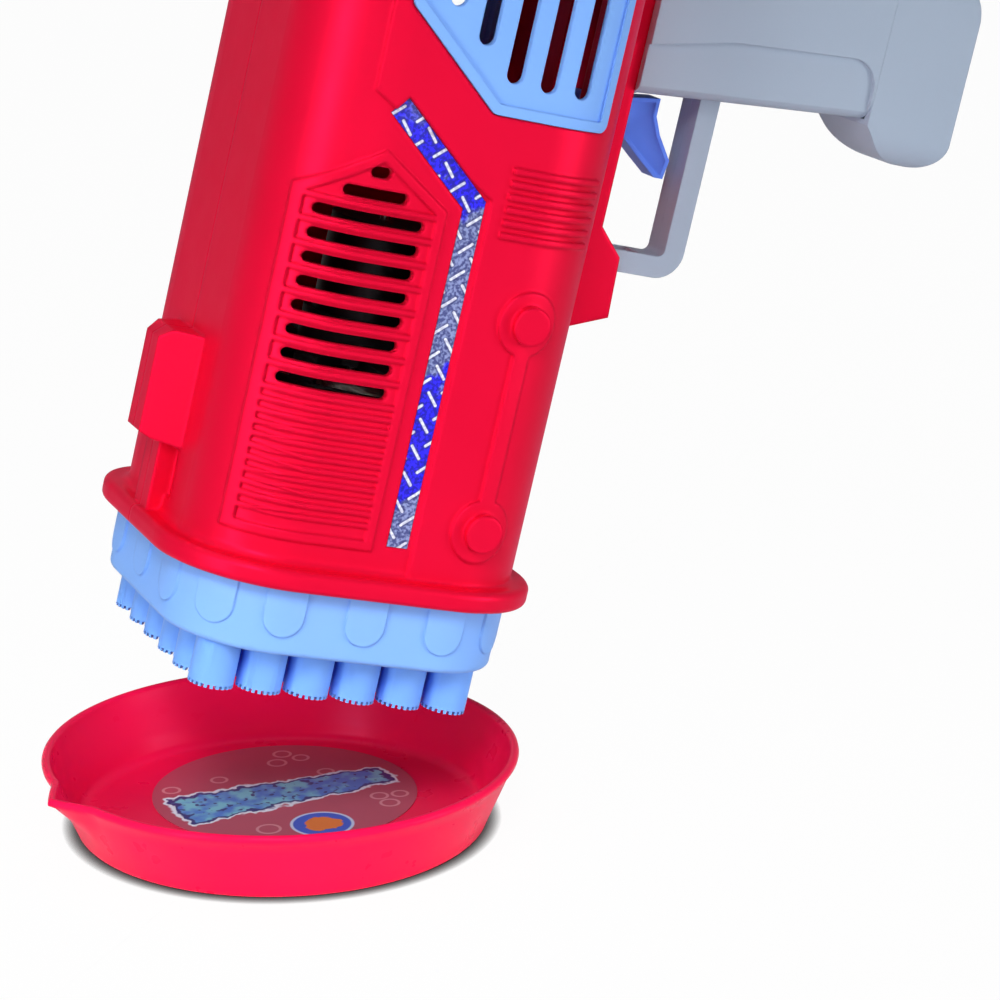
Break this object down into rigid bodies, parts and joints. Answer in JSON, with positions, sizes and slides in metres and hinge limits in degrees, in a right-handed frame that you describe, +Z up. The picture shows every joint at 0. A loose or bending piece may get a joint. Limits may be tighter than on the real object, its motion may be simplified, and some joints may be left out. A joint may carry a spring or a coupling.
{
  "type": "bubble blower",
  "caption": "Hand-held battery bubble blower with a rounded-square barrel, a skirted nozzle of open tubes, side vents, a pistol grip with a trigger, and a round dipping tray with a spout",
  "frame": {"origin": "Centre of the tray's base, on the floor that it stands on", "axes": "+Z up; +X the way the handle points away from the barrel, level; +Y away from the viewer, across the blower; the blower's two half shells meet in the plane Y = 0"},
  "size_m": [0.2356, 0.113, 0.2593],
  "materials": {
    "body_red": "semi-gloss moulded",
    "nozzle_blue": "satin moulded",
    "handle_grey": "satin moulded",
    "tray_red": "semi-gloss moulded",
    "tread_strip": "printed film",
    "label_print": "printed label",
    "inner_white": "as moulded",
    "inner_black": "as moulded",
    "steel": "plated",
    "winding": "enamelled wire",
    "cell_jacket": "printed sleeve"
  },
  "bodies": {
    "blower": {"body_shell_left": "body_red", "body_shell_right": "body_red", "grille_left": "nozzle_blue", "grille_right": "nozzle_blue", "strip_left": "tread_strip", "strip_right": "tread_strip", "nozzle_skirt": "nozzle_blue", "tube_plate": "nozzle_blue", "fan_duct": "inner_black", "motor_can": "steel", "motor_end_cap": "inner_white", "motor_bracket": "inner_black", "handle_left": "handle_grey", "handle_right": "handle_grey", "trigger_pin": "steel", "trigger_spring": "steel", "switch_body": "inner_black", "cells": "cell_jacket", "front_contacts": "steel", "body_screws": "steel", "handle_screws": "steel"},
    "trigger": {"trigger": "nozzle_blue"},
    "plunger": {"switch_plunger": "inner_white"},
    "fan": {"impeller": "inner_white", "motor_shaft": "steel", "motor_rotor": "winding"},
    "battery_cover": {"battery_cover": "handle_grey", "battery_cover_screw": "steel", "rear_contact": "steel"},
    "tray": {"tray": "tray_red", "tray_label": "label_print"}
  },
  "joints": [
    {"name": "trigger_pull", "type": "hinge", "parent": "blower", "child": "trigger", "pos_m": [0.07826, 0, 0.16542], "axis": [0, -1, 0], "range_deg": [0, 10], "stiffness_Nm_per_rad": 0.3, "springref_deg": -5.73, "deforming": ["trigger_spring"]},
    {"name": "plunger_push", "type": "slide", "parent": "blower", "child": "plunger", "axis": [0.2402, 0, 0.9707], "range_m": [0, 0.003]},
    {"name": "fan_spin", "type": "hinge", "parent": "blower", "child": "fan", "pos_m": [0.02281, 0, 0.12454], "axis": [0.2402, 0, 0.9707], "continuous": true},
    {"name": "cover_off", "type": "slide", "parent": "blower", "child": "battery_cover", "axis": [0.9707, 0, -0.2402], "range_m": [0, 0.03]},
    {"name": "tray_raise", "type": "slide", "parent": "blower", "child": "tray", "axis": [0, 0, 1], "range_m": [0, 0.025]}
  ],
  "couplings": [
    {"joint": "plunger_push", "follows": "trigger_pull", "m_per_rad": 0.0165}
  ]
}
